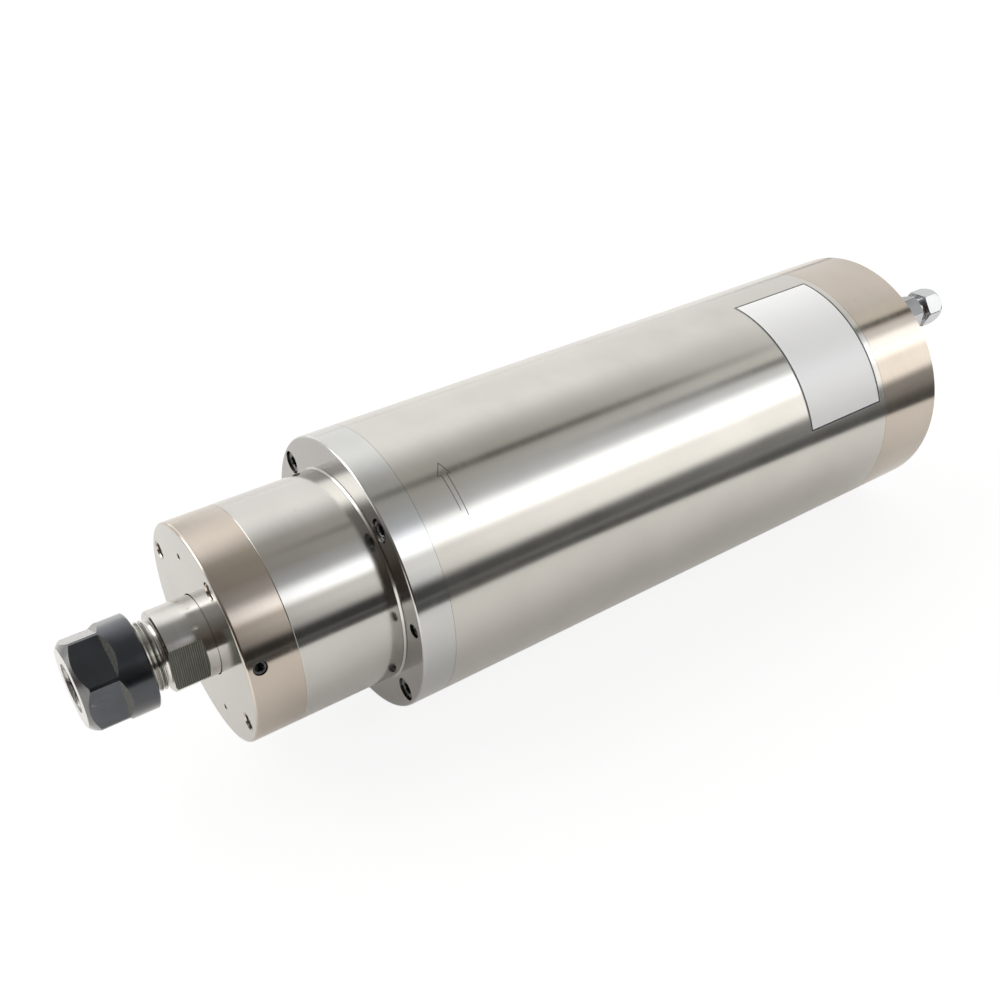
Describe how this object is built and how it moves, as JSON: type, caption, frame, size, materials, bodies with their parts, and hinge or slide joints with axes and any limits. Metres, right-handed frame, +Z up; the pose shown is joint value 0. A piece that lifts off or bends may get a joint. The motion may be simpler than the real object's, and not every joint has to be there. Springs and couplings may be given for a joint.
{
  "type": "water-cooled motor spindle",
  "caption": "Cylindrical water-cooled motor spindle with mounting flange, stepped nose, collet nut on a turning shaft, water fittings and a power socket at the rear.",
  "frame": {"origin": "on the spindle axis, in the front face of the mounting flange", "axes": "+X along the axis towards the rear, so the nose points to -X; +Z up as the spindle lies in the picture; +Y across"},
  "size_m": [0.3913, 0.105, 0.1051],
  "materials": {
    "stainless": "turned, satin",
    "housing_steel": "ground, satin",
    "nickel": "nickel plated, satin",
    "ground_steel": "ground, bright",
    "black_oxide": "black oxide, oiled",
    "collet_steel": "ground",
    "bearing_steel": "polished",
    "bronze": "machined",
    "spacer_steel": "ground",
    "dark_steel": "oxidised",
    "lamination": "stacked sheet",
    "cage_aluminium": "cast",
    "aluminium": "machined",
    "copper": "enamelled wire",
    "wire": "insulated wire",
    "rubber": "matte",
    "chrome": "plated, bright",
    "brass": "machined",
    "copper_washer": "pressed",
    "connector_metal": "plated",
    "connector_plastic": "moulded",
    "contact": "gold plated",
    "screw_steel": "zinc plated",
    "label": "white foil"
  },
  "bodies": {
    "spindle_body": {"front_bearing_a_outer": "bearing_steel", "front_bearing_b_outer": "bearing_steel", "outer_spacer": "spacer_steel", "rear_bearing_outer": "bearing_steel", "preload_springs": "spacer_steel", "nose_cap": "nickel", "air_port_plug": "black_oxide", "front_housing": "housing_steel", "flange_screws": "black_oxide", "body_tube": "stainless", "water_jacket": "aluminium", "housing_o_ring": "rubber", "jacket_o_ring": "rubber", "carrier_o_ring": "rubber", "cap_o_ring": "rubber", "stator_core": "lamination", "stator_windings": "copper", "lead_wires": "wire", "rear_bearing_carrier": "aluminium", "transfer_tubes": "brass", "rear_cap": "nickel", "rear_cap_screws": "black_oxide", "fitting_a_body": "chrome", "fitting_b_body": "chrome", "fitting_washers": "copper_washer", "socket_gasket": "rubber", "socket_shell": "connector_metal", "socket_insert": "connector_plastic", "socket_pins": "contact", "socket_screws": "screw_steel", "label_plate": "label"},
    "rotor": {"spindle_shaft": "ground_steel", "slinger_ring": "ground_steel", "front_bearing_a_inner": "bearing_steel", "front_bearing_b_inner": "bearing_steel", "inner_spacer": "spacer_steel", "front_lock_nut": "dark_steel", "rotor_core": "lamination", "rotor_cage": "cage_aluminium", "rear_bearing_inner": "bearing_steel", "rear_lock_nut": "dark_steel"},
    "front_cage_a": {"front_bearing_a_balls": "bearing_steel", "front_bearing_a_cage": "bronze"},
    "front_cage_b": {"front_bearing_b_balls": "bearing_steel", "front_bearing_b_cage": "bronze"},
    "rear_cage": {"rear_bearing_balls": "bearing_steel", "rear_bearing_cage": "bronze"},
    "collet_body": {"collet": "collet_steel"},
    "nut_body": {"collet_nut": "black_oxide"},
    "ferrule_a": {"fitting_a_ferrule": "brass"},
    "fitting_nut_a": {"fitting_a_nut": "chrome"},
    "ferrule_b": {"fitting_b_ferrule": "brass"},
    "fitting_nut_b": {"fitting_b_nut": "chrome"}
  },
  "joints": [
    {"name": "spindle_turn", "type": "hinge", "parent": "spindle_body", "child": "rotor", "pos_m": [0, 0, 0], "axis": [1, 0, 0], "continuous": true},
    {"name": "front_cage_a_turn", "type": "hinge", "parent": "spindle_body", "child": "front_cage_a", "pos_m": [-0.027, 0, 0], "axis": [1, 0, 0], "continuous": true},
    {"name": "front_cage_b_turn", "type": "hinge", "parent": "spindle_body", "child": "front_cage_b", "pos_m": [-0.005, 0, 0], "axis": [1, 0, 0], "continuous": true},
    {"name": "rear_cage_turn", "type": "hinge", "parent": "spindle_body", "child": "rear_cage", "pos_m": [0.2101, 0, 0], "axis": [1, 0, 0], "continuous": true},
    {"name": "collet_slide", "type": "slide", "parent": "rotor", "child": "collet_body", "axis": [-1, 0, 0], "range_m": [0, 0.0046]},
    {"name": "collet_nut_turn", "type": "hinge", "parent": "collet_body", "child": "nut_body", "pos_m": [-0.09, 0, 0], "axis": [-1, 0, 0], "range_deg": [0, 1080]},
    {"name": "ferrule_a_slide", "type": "slide", "parent": "spindle_body", "child": "ferrule_a", "axis": [1, 0, 0], "range_m": [0, 0.0021]},
    {"name": "fitting_nut_a_turn", "type": "hinge", "parent": "ferrule_a", "child": "fitting_nut_a", "pos_m": [0.2855, -0.02006, 0.03274], "axis": [1, 0, 0], "range_deg": [0, 720]},
    {"name": "ferrule_b_slide", "type": "slide", "parent": "spindle_body", "child": "ferrule_b", "axis": [1, 0, 0], "range_m": [0, 0.0021]},
    {"name": "fitting_nut_b_turn", "type": "hinge", "parent": "ferrule_b", "child": "fitting_nut_b", "pos_m": [0.2855, 0.03274, 0.02006], "axis": [1, 0, 0], "range_deg": [0, 720]}
  ],
  "couplings": [
    {"joint": "front_cage_a_turn", "follows": "spindle_turn", "ratio": 0.42},
    {"joint": "front_cage_b_turn", "follows": "spindle_turn", "ratio": 0.42},
    {"joint": "rear_cage_turn", "follows": "spindle_turn", "ratio": 0.413},
    {"joint": "collet_slide", "follows": "collet_nut_turn", "m_per_rad": 0.00023873},
    {"joint": "ferrule_a_slide", "follows": "fitting_nut_a_turn", "m_per_rad": 0.00015915},
    {"joint": "ferrule_b_slide", "follows": "fitting_nut_b_turn", "m_per_rad": 0.00015915}
  ]
}
